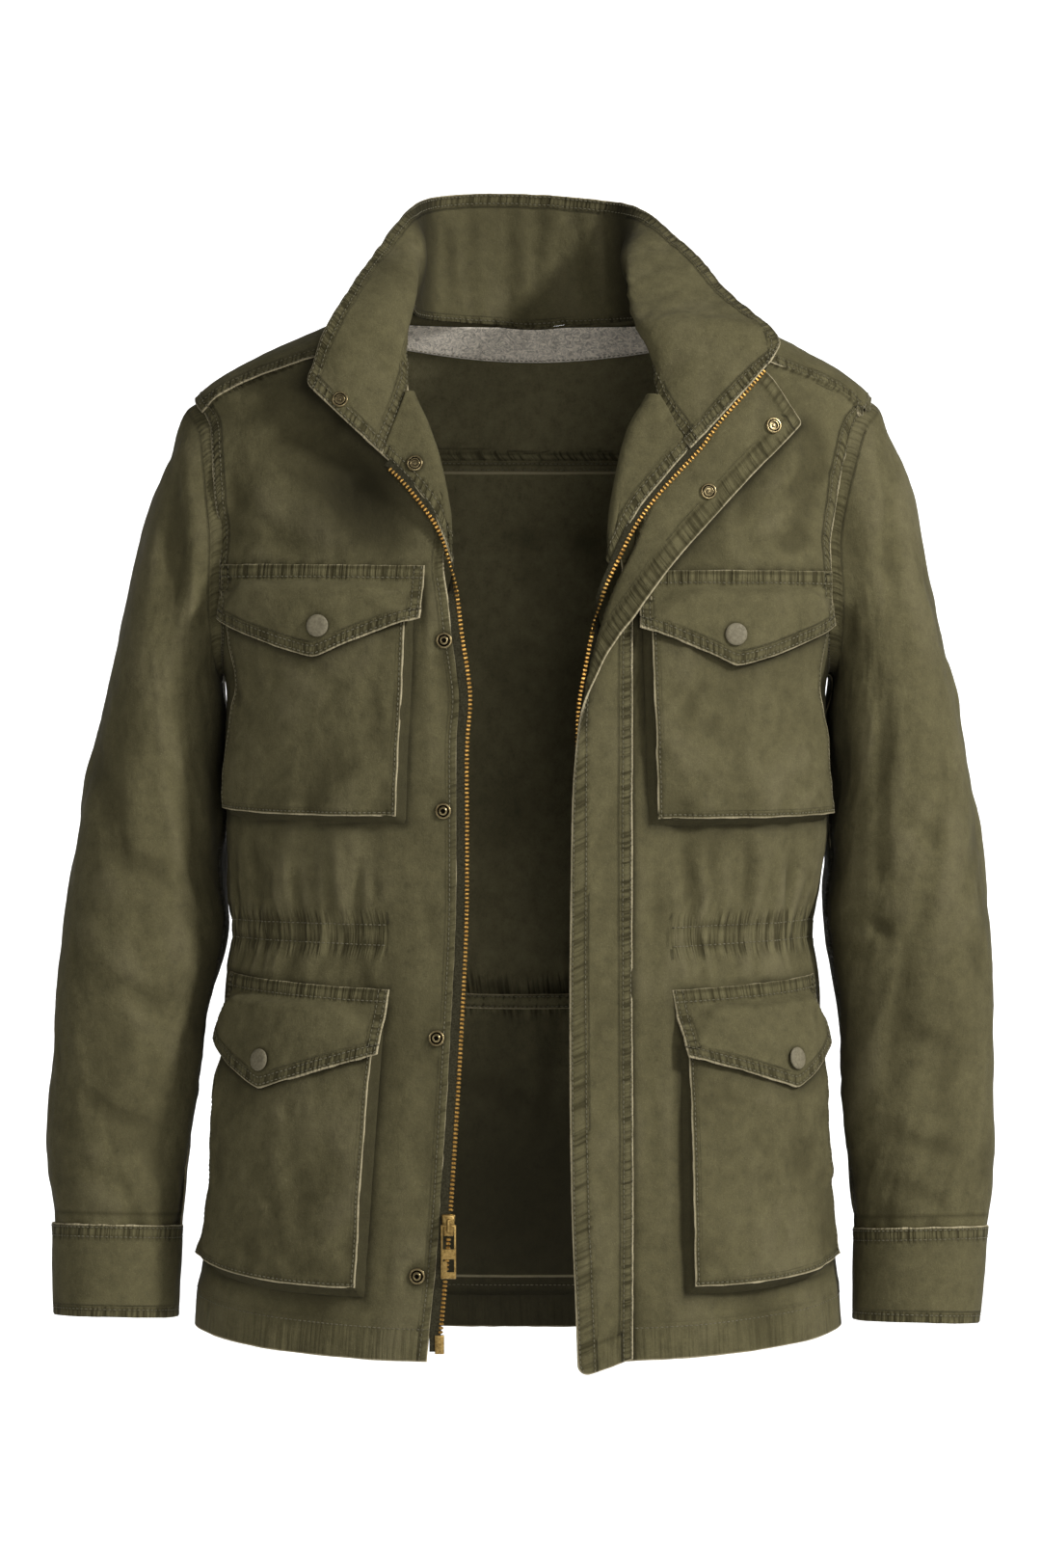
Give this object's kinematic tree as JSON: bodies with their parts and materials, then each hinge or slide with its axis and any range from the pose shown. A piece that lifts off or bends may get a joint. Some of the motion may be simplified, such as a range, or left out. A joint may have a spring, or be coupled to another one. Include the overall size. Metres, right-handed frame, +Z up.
{
  "type": "field jacket",
  "caption": "Olive field jacket worn open, with a turned-back stand collar, zip under a storm flap, gathered waist and flapped bellows pockets; hollow, without a wearer.",
  "frame": {"origin": "middle of the neck opening at the height of the back neck seam, where a wearer's neck stands", "axes": "+Z up towards the wearer's head, the front faces -Y, +X is the wearer's left"},
  "size_m": [0.6752, 0.2678, 0.8398],
  "materials": {
    "shell_cloth": "matte washed olive cotton twill",
    "neck_facing": "matte grey marl jersey",
    "zip_tape": "matte dark woven tape",
    "brass": "satin, slightly worn",
    "antique_brass": "dull antique",
    "painted_cap": "matte olive-grey paint"
  },
  "bodies": {
    "jacket": {"back": "shell_cloth", "chest_pocket_left_bag": "shell_cloth", "chest_pocket_left_flap": "shell_cloth", "chest_pocket_left_snap": "painted_cap", "chest_pocket_right_bag": "shell_cloth", "chest_pocket_right_flap": "shell_cloth", "chest_pocket_right_snap": "painted_cap", "collar": "shell_cloth", "collar_socket": "antique_brass", "cuff_left": "shell_cloth", "cuff_right": "shell_cloth", "front_left": "shell_cloth", "front_right": "shell_cloth", "front_stud_1": "antique_brass", "front_stud_2": "antique_brass", "front_stud_3": "antique_brass", "front_stud_4": "antique_brass", "lapel_left": "shell_cloth", "lapel_right": "shell_cloth", "lapel_socket": "antique_brass", "lower_pocket_left_bag": "shell_cloth", "lower_pocket_left_flap": "shell_cloth", "lower_pocket_left_snap": "painted_cap", "lower_pocket_right_bag": "shell_cloth", "lower_pocket_right_flap": "shell_cloth", "lower_pocket_right_snap": "painted_cap", "neck_facing": "neck_facing", "storm_flap": "shell_cloth", "storm_flap_socket_1": "antique_brass", "storm_flap_socket_2": "antique_brass", "storm_flap_socket_3": "antique_brass", "storm_flap_socket_4": "antique_brass", "storm_flap_socket_5": "antique_brass", "under_sleeve_left": "shell_cloth", "under_sleeve_right": "shell_cloth", "upper_sleeve_left": "shell_cloth", "upper_sleeve_right": "shell_cloth", "waist_tape": "shell_cloth", "yoke": "shell_cloth", "zip_box": "brass", "zip_pin": "brass", "zip_slider": "brass", "zip_tape_left": "zip_tape", "zip_tape_right": "zip_tape"},
    "zip_pull": {"zip_pull_tab": "brass"}
  },
  "joints": [
    {"name": "zip_pull_hinge", "type": "hinge", "parent": "jacket", "child": "zip_pull", "pos_m": [-0.05, -0.134, -0.637], "axis": [-1, 0, 0], "range_deg": [0, 150]}
  ]
}
